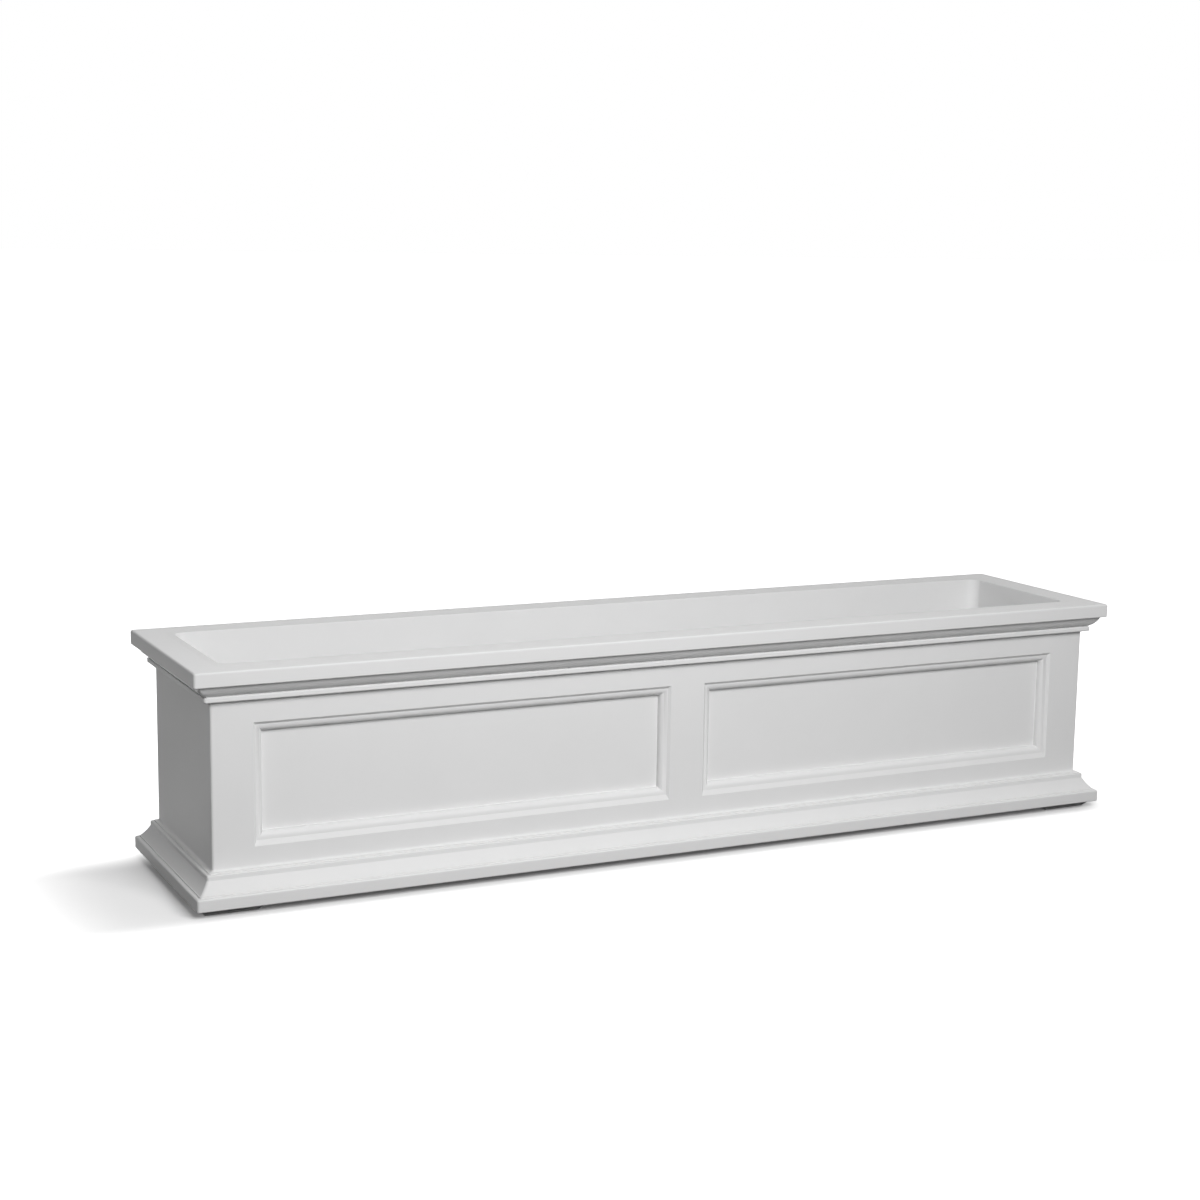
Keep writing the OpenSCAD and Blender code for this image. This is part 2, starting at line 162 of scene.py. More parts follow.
room = bpy.data.worlds.new("room")
bpy.context.scene.world = room
room.use_nodes = True
nodes, links = room.node_tree.nodes, room.node_tree.links
room_place = nodes.new("ShaderNodeTexCoord")
room_total = None
for turn_degrees, rise_degrees, strength in backdrops:
    facing = nodes.new("ShaderNodeVectorMath")
    facing.operation = "DOT_PRODUCT"
    facing.inputs[1].default_value = towards(math.radians(turn_degrees), math.radians(rise_degrees))
    links.new(room_place.outputs["Generated"], facing.inputs[0])
    steps = []
    for operation, number in (("MAXIMUM", 0), ("POWER", backdrop_tightness), ("MULTIPLY", strength),
                              ("ADD", room_grey if room_total is None else 0)):
        step = nodes.new("ShaderNodeMath")
        step.operation = operation
        step.inputs[1].default_value = number
        links.new(steps[-1].outputs[0] if steps else facing.outputs["Value"], step.inputs[0])
        steps.append(step)
    if room_total is not None:
        links.new(room_total, steps[-1].inputs[1])
    room_total = steps[-1].outputs[0]
room_ray = nodes.new("ShaderNodeLightPath")
room_seen = nodes.new("ShaderNodeMath")
room_seen.operation = "MAXIMUM"
room_tone = nodes.new("ShaderNodeMix")
room_tone.data_type = "RGBA"
room_tone.inputs["B"].default_value = (1, 1, 1, 1)
links.new(room_total, room_tone.inputs["A"])
links.new(room_ray.outputs["Is Camera Ray"], room_seen.inputs[0])
links.new(room_ray.outputs["Is Transmission Ray"], room_seen.inputs[1])
links.new(room_seen.outputs[0], room_tone.inputs["Factor"])
links.new(room_tone.outputs["Result"], nodes["Background"].inputs["Color"])

bpy.ops.object.light_add(type="AREA")
lamp = bpy.context.object
lamp.name = "key_lamp"
lamp.data.shape = "RECTANGLE"
lamp.data.size, lamp.data.size_y = lamp_size
lamp.data.energy = lamp_power
lamp.rotation_mode = "QUATERNION"
lamp.location = lamp_aim + towards(lamp_turn, lamp_rise) * lamp_reach
lamp.rotation_quaternion = towards(lamp_turn, lamp_rise).to_track_quat("Z", "Y")


# The outer shell is one hollow moulding of white polyethylene, 3.5 mm thick: sill, cornice, plain
# walls, stepped base and underside in one skin. The plastic lines the inside of a heated mould,
# so every edge is soft. Insets are measured from the box's outermost faces.
box_low, box_high = cad_bounds
half_length = (box_high.x - box_low.x) / 2
half_depth = (box_high.y - box_low.y) / 2
sill_z = box_high.z
skin = 0.0035
under_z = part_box("outer_shell")[0].z
end_inset = 0.02
wall_inset, wall_foot_round = 0.0236, 0.0028
plinth_top, plinth_foot_round, plinth_round = under_z + 0.0149, 0.0015, 0.0022
step_inset, step_top = 0.004, plinth_top + 0.0015
ledge_inset, ledge_top, ledge_bow = 0.0054, step_top + 0.0003, -0.0006
cap_inset, cap_round = 0.0153, 0.0016
cap_low = ledge_top + 0.0137
cap_high = cap_low + 0.0056
groove_inset, groove_top = 0.0184, cap_high + 0.0013
groove_deep, groove_lip = 0.0004, 0.0003
fall = 0.0001
nook_round = 0.0006
slab_low, slab_foot_round, sill_round = sill_z - 0.0173, 0.0015, 0.0025
slab_lip, slope_bow = 0.0057, 0.0019
slope_low = slab_low - 0.0134
bead_low, bead_top_round = slope_low - 0.0067, 0.0009
quirk_deep, quirk_high = 0.0018, 0.0009
rim_inset = 0.031
rebate_z = sill_z - skin
corner_round, mouth_round = 0.003, 0.015
foot_x, foot_y, screw_aside = 0.5666, 0.1033, 0.017
insert_x, insert_y = 0.4064, 0.06
tube_x, cone_pitch = 0.345, 0.23
screw_places = [(x + aside, y) for x in (-foot_x, foot_x) for y in (-foot_y, foot_y)
                for aside in (-screw_aside, screw_aside)]
insert_places = [(x, y) for x in (-insert_x, insert_x) for y in (-insert_y, insert_y)]
tube_places = [(-tube_x, 0), (tube_x, 0)]
cone_places = [(cone_pitch * i, 0) for i in range(-2, 3)]


def rounded(path, steps=4):
    # a path of (across, up, radius) corners becomes points, with each corner an arc
    points = [path[0][:2]]
    for before, here, after in zip(path, path[1:], path[2:]):
        corner, radius = Vector(here[:2]), here[2]
        if not radius:
            points.append(here[:2])
            continue
        back = (Vector(before[:2]) - corner).normalized()
        on = (Vector(after[:2]) - corner).normalized()
        half = back.angle(on) / 2
        centre = corner + (back + on).normalized() * radius / math.sin(half)
        start = corner + back * radius / math.tan(half) - centre
        end = corner + on * radius / math.tan(half) - centre
        sweep = math.pi - 2 * half
        for i in range(steps + 1):
            spoke = start * math.sin((1 - i / steps) * sweep) + end * math.sin(i / steps * sweep)
            points.append(tuple(centre + spoke / math.sin(sweep)))
    points.append(path[-1][:2])
    return points


def bowed(start, end, sag, steps=10):
    # the points between the ends of a slope that bows to the left of a straight line
    run, rise = end[0] - start[0], end[1] - start[1]
    length = math.hypot(run, rise)
    points = []
    for i in range(1, steps):
        s = i / steps
        out = 4 * sag * s * (1 - s)
        points.append((start[0] + s * run - out * rise / length,
                       start[1] + s * rise + out * run / length, 0))
    return points


def grooved(inset, low, top):
    # a small upright step whose face is sunk under a thin lip
    return [(inset + groove_deep, low, 0), (inset + groove_deep, top - groove_lip, 0),
            (inset, top, groove_lip)]


def take_up(piece):
    # this piece alone is selected, as if picked up
    if bpy.context.mode != "OBJECT":
        bpy.ops.object.mode_set(mode="OBJECT")
    bpy.ops.object.select_all(action="DESELECT")
    bpy.context.view_layer.objects.active = piece
    piece.select_set(True)


def pick(piece, wanted, kind="FACE"):
    # edit mode on this piece alone, with the faces or points selected that pass the test
    take_up(piece)
    bpy.ops.object.mode_set(mode="EDIT")
    bpy.ops.mesh.select_mode(type=kind)
    bpy.ops.mesh.select_all(action="DESELECT")
    bpy.ops.object.mode_set(mode="OBJECT")
    for part in piece.data.polygons if kind == "FACE" else piece.data.vertices:
        part.select = wanted(part)
    bpy.ops.object.mode_set(mode="EDIT")


def close_up(piece):
    # open ends get a face, and all faces turn outwards
    take_up(piece)
    bpy.ops.object.mode_set(mode="EDIT")
    bpy.ops.mesh.select_mode(type="VERT")
    bpy.ops.mesh.select_all(action="DESELECT")
    bpy.ops.mesh.select_non_manifold()
    bpy.ops.mesh.edge_face_add()
    bpy.ops.mesh.select_all(action="SELECT")
    bpy.ops.mesh.normals_make_consistent(inside=False)
    bpy.ops.object.mode_set(mode="OBJECT")


def raise_plan(name, side, corners, plan=None, inset=0.0):
    # a rectangle with rounded corners is drawn up through a profile of (inset, height) points
    x_low, x_high, y_half = plan or (-half_length, half_length, half_depth)
    middle = (x_low + x_high) / 2
    x_half = (x_high - x_low) / 2
    take_up(floor)
    bpy.ops.mesh.primitive_plane_add(size=2, location=(middle, 0, side[0][1]))
    piece = bpy.context.object
    piece.name = name
    piece.scale = (x_half - inset, y_half - inset, 1)
    bpy.ops.object.transform_apply(location=True, rotation=False, scale=True)
    for radius, steps, wanted in corners:
        pick(piece, wanted, "VERT")
        bpy.ops.mesh.bevel(offset=radius, segments=steps, affect="VERTICES", profile=0.5)
    pick(piece, lambda face: True)
    at, level = inset, side[0][1]
    for number, (reach, height) in enumerate(side):
        if number:
            bpy.ops.mesh.extrude_region_move(
                TRANSFORM_OT_translate={"value": (0, 0, height - level)})
        stretch = ((x_half - reach) / (x_half - at), (y_half - reach) / (y_half - at), 1)
        bpy.ops.transform.resize(value=stretch, center_override=(middle, 0, height))
        at, level = reach, height
    close_up(piece)
    return piece


def turn(name, points, places, around=48, ring=False):
    # a round piece is drawn up through (radius, height) points and copied to each place; a ring
    # has a hole, and its last points meet its first
    take_up(floor)
    bpy.ops.mesh.primitive_circle_add(
        vertices=around, radius=points[0][0], fill_type="NOTHING" if ring else "NGON")
    piece = bpy.context.object
    piece.name = name
    bpy.ops.object.mode_set(mode="EDIT")
    bpy.ops.mesh.select_all(action="SELECT")
    bpy.ops.transform.translate(value=(0, 0, points[0][1]))
    for (radius, level), (reach, height) in zip(points, points[1:] + points[:1] * ring):
        bpy.ops.mesh.extrude_region_move(TRANSFORM_OT_translate={"value": (0, 0, height - level)})
        bpy.ops.transform.resize(
            value=(reach / radius, reach / radius, 1), center_override=(0, 0, height))
    bpy.ops.mesh.select_all(action="SELECT")
    bpy.ops.mesh.remove_doubles(threshold=0.000001)
    close_up(piece)
    set_out(piece, places)
    return piece


def set_out(piece, places):
    # the piece stands at the origin: its mesh moves to the first place and is copied to the rest
    pick(piece, lambda face: True)
    at = (0, 0)
    for number, (x, y) in enumerate(places):
        step = (x - at[0], y - at[1], 0)
        if number:
            bpy.ops.mesh.duplicate_move(TRANSFORM_OT_translate={"value": step})
        else:
            bpy.ops.transform.translate(value=step)
        at = (x, y)
    bpy.ops.object.mode_set(mode="OBJECT")


def block(name, low, high):
    # a box between two corners
    take_up(floor)
    bpy.ops.mesh.primitive_cube_add(size=1, location=(Vector(low) + Vector(high)) / 2)
    piece = bpy.context.object
    piece.name = name
    piece.scale = Vector(high) - Vector(low)
    bpy.ops.object.transform_apply(location=True, rotation=False, scale=True)
    return piece


def cut_from(piece, cutters, how="DIFFERENCE"):
    # each cutter is taken out of the piece, or added to it, and is then gone
    for cutter in cutters:
        take_up(piece)
        tool = piece.modifiers.new("cut", "BOOLEAN")
        tool.operation = how
        tool.solver = "EXACT"
        tool.object = cutter
        bpy.ops.object.modifier_apply(modifier=tool.name)
        bpy.data.objects.remove(cutter)


def soften(piece, width, steps):
    # all edges of a block are rounded
    take_up(piece)
    tool = piece.modifiers.new("soft_edges", "BEVEL")
    tool.width, tool.segments = width, steps
    bpy.ops.object.modifier_apply(modifier=tool.name)


def finish_skin(piece, body, node):
    # smooth shading that keeps flat faces flat, and the piece's place in the frame
    sharp_edge = math.radians(32)
    take_up(piece)
    bpy.ops.object.shade_smooth_by_angle(angle=sharp_edge)
    tool = piece.modifiers.new("even_normals", "WEIGHTED_NORMAL")
    tool.keep_sharp = True
    bpy.ops.object.modifier_apply(modifier=tool.name)
    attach(piece, body)
    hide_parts(node)


all_corners = [(corner_round, 5, lambda point: True)]
mouth_corners = [(mouth_round, 9, lambda point: True)]
shell_side = (
    [(end_inset, under_z, 0), (0, under_z, plinth_foot_round), (0, plinth_top, plinth_round)]
    + grooved(step_inset, plinth_top + fall, step_top)
    + [(ledge_inset, ledge_top, 0)]
    + bowed((ledge_inset, ledge_top), (cap_inset, cap_low), ledge_bow)
    + [(cap_inset, cap_low, nook_round), (cap_inset, cap_high, cap_round)]
    + grooved(groove_inset, cap_high + 2 * fall, groove_top)
    + [(wall_inset, groove_top + 4 * fall, wall_foot_round), (wall_inset, bead_low, nook_round),
       (cap_inset, bead_low, cap_round), (cap_inset, slope_low - quirk_high, bead_top_round),
       (cap_inset + quirk_deep, slope_low - quirk_high, 0),
       (cap_inset + quirk_deep, slope_low, 0)]
    + bowed((cap_inset + quirk_deep, slope_low), (slab_lip, slab_low), slope_bow)
    + [(slab_lip, slab_low, 0), (0, slab_low, slab_foot_round), (0, sill_z, sill_round),
       (end_inset, sill_z, 0)])
shell = raise_plan("box_shell", rounded(shell_side), all_corners)

# The two panels are sunk into the front wall: a bevelled step, a quarter-round moulding and a
# short square drop lead down to each flat field. The step is wider at the bottom, where it sheds
# water.
panel_near, panel_far = 0.0224, 0.5379
panel_low, panel_high = 0.0701, 0.2102
panel_lead = 0.003
step_width, step_width_low, step_depth = 0.0031, 0.0062, 0.003
step_edge_round, step_nook_round = 0.0005, 0.0003
round_width, round_depth = 0.0086, 0.0077
drop_depth, drop_round = 0.0016, 0.0005
panel_depth = step_depth + round_depth + drop_depth
front_y = wall_inset - half_depth

panel_side = rounded(
    [(-panel_lead, 0, 0), (0, 0, step_edge_round), (step_width, step_depth, step_nook_round)]
    + [(step_width + round_width * math.sin(t), step_depth + round_depth * (1 - math.cos(t)), 0)
       for t in (math.radians(9 * i) for i in range(1, 10))]
    + [(step_width + round_width, panel_depth, drop_round),
       (step_width + round_width + panel_lead, panel_depth, 0)])[1:-1]


def sink_panels(piece, side, step_end, step_extra):
    # cuts the panels' outlines into the front wall and sinks them ring by ring
    same_plane, same_height = 0.0002, 0.0001
    start = side[0][0]
    near, far = panel_near + start, panel_far - start
    low, high = panel_low + start, panel_high - start

    def faces_front(face):
        return face.normal.y < -0.99 and abs(face.center.y - front_y) < same_plane

    for place, direction in (
            ((-far, 0, 0), (1, 0, 0)), ((-near, 0, 0), (1, 0, 0)), ((near, 0, 0), (1, 0, 0)),
            ((far, 0, 0), (1, 0, 0)), ((0, 0, low), (0, 0, 1)), ((0, 0, high), (0, 0, 1))):
        pick(piece, faces_front)
        bpy.ops.mesh.bisect(plane_co=place, plane_no=direction)
    pick(piece, lambda face: faces_front(face) and low < face.center.z < high
         and near < abs(face.center.x) < far)
    for (width, depth), (wider, deeper) in zip(side, side[1:]):
        bpy.ops.mesh.inset(thickness=wider - width, depth=depth - deeper, use_even_offset=True)
        lift = (min(max(wider, 0), step_end) - min(max(width, 0), step_end)) * step_extra / step_end
        if lift:
            bpy.ops.object.mode_set(mode="OBJECT")
            chosen = {v for face in piece.data.polygons if face.select for v in face.vertices}
            bottom = min(piece.data.vertices[v].co.z for v in chosen)
            for v in chosen:
                if piece.data.vertices[v].co.z < bottom + same_height:
                    piece.data.vertices[v].co.z += lift
            bpy.ops.object.mode_set(mode="EDIT")
    bpy.ops.object.mode_set(mode="OBJECT")


sink_panels(shell, panel_side, step_width, step_width_low - step_width)

# Inside, the skin is hollow. Five cones rise from its floor to carry the trough, and thicker
# bosses take the foot screws and the threaded inserts of the underside. A cutter starts or ends
# a millimetre past the face that it opens.
past = 0.001
floor_z = under_z + skin
trough_z = floor_z + 0.023
slope_shift, slope_drop = 0.0028, 0.0021
rebate_wall, mouth_inset = 0.0037, 0.0368
cone_foot, cone_top = 0.028, 0.017
dent_foot, dent_foot_round = 0.0242, 0.003
dent_top, dent_top_round, dent_tip = 0.0135, 0.0025, 0.0005
screw_boss, insert_boss, boss_top = 0.00575, 0.008, 0.0265
screw_hole, insert_hole, tube_hole = 0.0023, 0.00455, 0.01005
hole_low, screw_hole_top, insert_length = 0.001, 0.023, 0.014
hollow = raise_plan("wall_hollow", [
    (skin, floor_z), (skin, plinth_top - skin), (ledge_inset + slope_shift / 2, ledge_top - skin),
    (cap_inset + slope_shift, cap_low - slope_drop), (cap_inset + skin, cap_low),
    (cap_inset + skin, cap_high - skin), (wall_inset + skin, cap_high - skin / 2),
    (wall_inset + skin, bead_low + skin), (cap_inset + skin, bead_low + skin),
    (cap_inset + skin, slope_low + slope_drop), (slab_lip + slope_shift, slab_low + slope_drop),
    (skin, slab_low + skin), (skin, rebate_z)], all_corners)
cut_from(hollow, [
    raise_plan("rim_ledge", [(rim_inset - rebate_wall, rebate_z - skin),
                             (rim_inset - rebate_wall, sill_z)], mouth_corners, inset=rim_inset),
    block("panel_back_left", (-panel_far - skin, -half_depth, panel_low - skin),
          (-panel_near + skin, front_y + panel_depth + skin, panel_high + skin)),
    block("panel_back_right", (panel_near - skin, -half_depth, panel_low - skin),
          (panel_far + skin, front_y + panel_depth + skin, panel_high + skin)),
    turn("cones", [(cone_foot, under_z), (cone_top, trough_z)], cone_places),
    turn("screw_bosses", [(screw_boss, under_z), (screw_boss, boss_top)], screw_places, 24),
    turn("insert_bosses", [(insert_boss, under_z), (insert_boss, boss_top)], insert_places, 32)])
dent = rounded([
    (2 * dent_foot, under_z, 0), (dent_foot, under_z, dent_foot_round),
    (dent_top, trough_z - skin, dent_top_round), (dent_tip, trough_z - skin, 0)])
cut_from(shell, [
    hollow,
    raise_plan("rebate", [(rim_inset, rebate_z), (rim_inset, sill_z + past)], mouth_corners,
               inset=rim_inset),
    raise_plan("mouth", [(mouth_inset, rebate_z - 2 * skin), (mouth_inset, sill_z + past)],
               mouth_corners, inset=rim_inset),
    turn("dents", [(dent[1][0], under_z - past)] + dent[1:], cone_places),
    turn("screw_holes", [(screw_hole, hole_low), (screw_hole, screw_hole_top)], screw_places, 24),
    turn("insert_holes", [(insert_hole, hole_low), (insert_hole, under_z + insert_length)],
         insert_places, 32),
    turn("tube_holes", [(tube_hole, hole_low), (tube_hole, floor_z + past)], tube_places)])
finish_skin(shell, "box", "outer_shell")


def new_group(name, inputs, outputs):
    # a shader node group with named sockets
    group = bpy.data.node_groups.new(name, "ShaderNodeTree")
    for socket, value in inputs:
        group.interface.new_socket(
            socket, in_out="INPUT", socket_type="NodeSocketFloat").default_value = value
    for socket in outputs:
        group.interface.new_socket(socket, in_out="OUTPUT", socket_type="NodeSocketFloat")
    return group, group.nodes.new("NodeGroupInput"), group.nodes.new("NodeGroupOutput")


def calculate(tree, operation, first, second, third=None):
    # one sum on sockets or numbers
    step = tree.nodes.new("ShaderNodeMath")
    step.operation = operation
    for place, value in enumerate((first, second, third)):
        if isinstance(value, (int, float)):
            step.inputs[place].default_value = value
        elif value is not None:
            tree.links.new(value, step.inputs[place])
    return step.outputs[0]


def noise(tree, place, size, detail=2.0, rough=0.5):
    # soft noise: size is a lump's width in metres, or a socket that gives lumps per metre
    cloud = tree.nodes.new("ShaderNodeTexNoise")
    cloud.inputs["Detail"].default_value = detail
    cloud.inputs["Roughness"].default_value = rough
    if isinstance(size, (int, float)):
        cloud.inputs["Scale"].default_value = 1 / size
    else:
        tree.links.new(size, cloud.inputs["Scale"])
    tree.links.new(place, cloud.inputs["Vector"])
    return cloud.outputs["Fac"]


def build_moulded_skin():
    # the look of plastic that has cooled against a mould: a fine orange peel on slow waves, all
    # in millimetres, with faint clouds of tone and gloss
    fine_size, peel_size, wave_size, cloud_size = 0.0011, 0.0042, 0.13, 0.06
    fine_share, peel_gloss, cloud_gloss = 0.4, 0.4, 0.6
    group, given, result = new_group(
        "moulded_skin", [("Peel", 0.012), ("Wave", 0.12)], ["Height", "Cloud", "Gloss"])
    place = group.nodes.new("ShaderNodeTexCoord").outputs["Object"]
    fine = noise(group, place, fine_size, 3)
    peel = noise(group, place, peel_size, 2)
    wave = noise(group, place, wave_size, 1)
    cloud = noise(group, place, cloud_size, 5, 0.6)
    grain = calculate(group, "ADD", calculate(group, "MULTIPLY", fine, fine_share), peel)
    high = calculate(group, "MULTIPLY", grain, given.outputs["Peel"])
    high = calculate(group, "MULTIPLY_ADD", wave, given.outputs["Wave"], high)
    gloss = calculate(group, "MULTIPLY", cloud, cloud_gloss)
    gloss = calculate(group, "MULTIPLY_ADD", peel, peel_gloss, gloss)
    group.links.new(high, result.inputs["Height"])
    group.links.new(cloud, result.inputs["Cloud"])
    group.links.new(gloss, result.inputs["Gloss"])
    return group


def build_settled_dust():
    # a little dust lies on what faces up, thicker in patches
    speck_size, dust_gain = 0.0016, 3.0
    up_gain, up_start = 2.5, -1.4
    group, given, result = new_group("settled_dust", [("Amount", 0.3), ("Patch", 90.0)], ["Dust"])
    place = group.nodes.new("ShaderNodeTexCoord").outputs["Object"]
    facing = group.nodes.new("ShaderNodeSeparateXYZ")
    group.links.new(group.nodes.new("ShaderNodeNewGeometry").outputs["Normal"], facing.inputs[0])
    up = calculate(group, "MULTIPLY_ADD", facing.outputs["Z"], up_gain, up_start)
    up = calculate(group, "MINIMUM", calculate(group, "MAXIMUM", up, 0.0), 1.0)
    patch = noise(group, place, given.outputs["Patch"], 6, 0.65)
    specks = noise(group, place, speck_size, 2)
    dust = calculate(group, "MULTIPLY", patch, calculate(group, "POWER", specks, 2.0))
    dust = calculate(group, "MULTIPLY", dust, up)
    dust = calculate(group, "MULTIPLY", dust, given.outputs["Amount"])
    group.links.new(calculate(group, "MULTIPLY", dust, dust_gain), result.inputs["Dust"])
    return group


def tone_mix(tree, factor, low, high):
    # a colour between two, by a mask
    mix = tree.nodes.new("ShaderNodeMix")
    mix.data_type = "RGBA"
    for socket, value in (("A", low), ("B", high)):
        if isinstance(value, tuple):
            mix.inputs[socket].default_value = (*value, 1)
        else:
            tree.links.new(value, mix.inputs[socket])
    tree.links.new(factor, mix.inputs["Factor"])
    return mix.outputs["Result"]


def place_group(tree, group, **values):
    # a node group set into a material with its own values
    node = tree.nodes.new("ShaderNodeGroup")
    node.node_tree = group
    for name, value in values.items():
        node.inputs[name].default_value = value
    return node.outputs


def new_material(name):
    material = bpy.data.materials.new(name)
    material.use_nodes = True
    return material, material.node_tree, material.node_tree.nodes["Principled BSDF"]


def add_relief(tree, shader, height, unit):
    # heights in this unit, itself in metres, tilt the surface's normals
    bump = tree.nodes.new("ShaderNodeBump")
    bump.inputs["Distance"].default_value = unit
    tree.links.new(height, bump.inputs["Height"])
    tree.links.new(bump.outputs["Normal"], shader.inputs["Normal"])


def moulded_plastic(name, pale, deep, gloss, peel, wave, dust):
    # plastic as it comes from the mould: tone clouds, dust, peel and a gloss that varies
    dust_tone, dust_rough = (0.55, 0.53, 0.5), 0.3
    material, tree, shader = new_material(name)
    shader.inputs["IOR"].default_value = 1.5
    shader.inputs["Specular IOR Level"].default_value = 0.2
    surface = place_group(tree, moulded_skin, Peel=peel, Wave=wave)
    settled = place_group(tree, settled_dust, Amount=dust)["Dust"]
    tone = tone_mix(tree, surface["Cloud"], deep, pale)
    tree.links.new(tone_mix(tree, settled, tone, dust_tone), shader.inputs["Base Color"])
    rough = calculate(tree, "MULTIPLY_ADD", surface["Gloss"], gloss[1] - gloss[0], gloss[0])
    rough = calculate(tree, "MULTIPLY_ADD", settled, dust_rough, rough)
    tree.links.new(rough, shader.inputs["Roughness"])
    add_relief(tree, shader, surface["Height"], 0.001)
    return material


moulded_skin = build_moulded_skin()
settled_dust = build_settled_dust()
shell.data.materials.append(moulded_plastic(
    "white_polyethylene", pale=(0.79, 0.79, 0.79), deep=(0.76, 0.76, 0.76),
    gloss=(0.42, 0.6), peel=0.012, wave=0.12, dust=0.06))


# The trough is the white tub that holds the soil. It hangs by its rim in the sill's rebate, so
# tightly that the joint doesn't show, and stands on the five cones.
bed_z = trough_z + skin
sill_inner, lip_round = 0.0405, 0.0015
hang_inset, rim_gap = 0.0372, 0.0002
trough_foot, trough_round, trough_end = 0.0525, 0.008, 0.07
seal_hole = 0.013
tub = raise_plan("soil_trough", rounded([
    (trough_end, trough_z, 0), (trough_foot - skin, trough_z, trough_round),
    (hang_inset, rebate_z + rim_gap, 0), (rim_inset, rebate_z + rim_gap, 0),
    (rim_inset, sill_z, 0), (sill_inner, sill_z, lip_round), (trough_foot, bed_z, trough_round),
    (trough_end, bed_z, 0)], 6), mouth_corners, inset=rim_inset)
cut_from(tub, [turn("seal_holes", [(seal_hole, trough_z - past), (seal_hole, bed_z + past)],
                    tube_places)])
finish_skin(tub, "box", "inner_trough")
tub.data.materials.append(moulded_plastic(
    "white_trough", pale=(0.79, 0.79, 0.79), deep=(0.755, 0.755, 0.755),
    gloss=(0.45, 0.65), peel=0.016, wave=0.12, dust=0.1))


# Four low white feet carry the box just off the floor. Each flares towards the box and is held
# by two countersunk screws.
foot_length, foot_width, foot_flare, foot_edge = 0.06, 0.04, 0.008, 0.0012
sink_rim, sink_wall = 0.00495, 0.00455
sink_low, sink_neck = 0.001, 0.00325
foot_white = moulded_plastic(
    "white_foot", pale=(0.79, 0.79, 0.79), deep=(0.74, 0.74, 0.74),
    gloss=(0.45, 0.65), peel=0.02, wave=0.05, dust=0.0)
for end, end_name in ((-foot_x, "left"), (foot_x, "right")):
    for side, side_name in ((-foot_y, "front"), (foot_y, "rear")):
        foot = block("foot_" + side_name + "_" + end_name + "_skin",
                     (end - foot_length / 2, side - foot_width / 2, 0),
                     (end + foot_length / 2, side + foot_width / 2, under_z))
        pick(foot, lambda face: face.normal.z > 0.9)
        bpy.ops.transform.resize(
            value=(1 + 2 * foot_flare / foot_length, 1 + 2 * foot_flare / foot_width, 1),
            center_override=(end, side, under_z))
        soften(foot, foot_edge, 4)
        cut_from(foot, [turn("foot_screw_holes", [
            (sink_rim, -past), (sink_rim, -0.0001), (sink_wall, 0.0003), (sink_wall, sink_low),
            (screw_hole, sink_neck), (screw_hole, under_z + past)],
            [(end - screw_aside, side), (end + screw_aside, side)])])
        finish_skin(foot, "box", "foot_" + side_name + "_" + end_name)
        foot.data.materials.append(foot_white)


# Countersunk screws of zinc-plated steel hold the feet, two each. A screw has a cross recess and
# a coarse thread that bites into the boss above the foot.
screw_face, screw_head, screw_shank, screw_core = 0.0042, 0.0045, 0.00225, 0.0016
shank_end, core_start, screw_end = 0.005, 0.0056, 0.019
point_length, point_tip = 0.003, 0.0006
thread_low, thread_pitch, thread_turns, thread_root = 0.0062, 0.0016, 6, 0.0001
wing = (0.0021, 0.00045)
recess_low, recess_high, recess_taper = 0.0005, 0.0027, 0.45


def helix(name, inner, outer, pitch, low, turns, around=24):
    # the ridge of a thread, wide at its inner radius and narrow at its outer one
    ridge_width, ridge_taper = 0.8, 0.2
    take_up(floor)
    bpy.ops.mesh.primitive_plane_add(
        size=1, location=((inner + outer) / 2, 0, low), rotation=(math.pi / 2, 0, 0))
    piece = bpy.context.object
    piece.name = name
    piece.scale = (outer - inner, ridge_width * pitch, 1)
    bpy.ops.object.transform_apply(location=True, rotation=True, scale=True)
    pick(piece, lambda point: point.co.x > (inner + outer) / 2, "VERT")
    bpy.ops.transform.resize(value=(1, 1, ridge_taper), center_override=(outer, 0, low))
    bpy.ops.mesh.select_all(action="SELECT")
    bpy.ops.mesh.delete(type="ONLY_FACE")
    bpy.ops.object.mode_set(mode="OBJECT")
    tool = piece.modifiers.new("thread", "SCREW")
    tool.screw_offset, tool.iterations = pitch, turns
    tool.steps = tool.render_steps = around
    bpy.ops.object.modifier_apply(modifier=tool.name)
    close_up(piece)
    return piece


screws = turn("foot_screw_set", [
    (screw_face, sink_low), (screw_head, sink_low + 0.0002), (screw_shank, sink_neck + 0.0001),
    (screw_shank, shank_end), (screw_core, core_start), (screw_core, screw_end - point_length),
    (point_tip, screw_end)], [(0, 0)], 32)
cut_from(screws, [helix("screw_thread", screw_core - thread_root, screw_shank, thread_pitch,
                        thread_low, thread_turns)], "UNION")
for turned in (0, 1):
    recess = block("cross_recess", (-wing[turned], -wing[1 - turned], recess_low),
                   (wing[turned], wing[1 - turned], recess_high))
    pick(recess, lambda face: face.normal.z > 0.9)
    bpy.ops.transform.resize(
        value=(recess_taper, recess_taper, 1), center_override=(0, 0, recess_high))
    bpy.ops.object.mode_set(mode="OBJECT")
    cut_from(screws, [recess])
set_out(screws, screw_places)
finish_skin(screws, "box", "foot_screws")


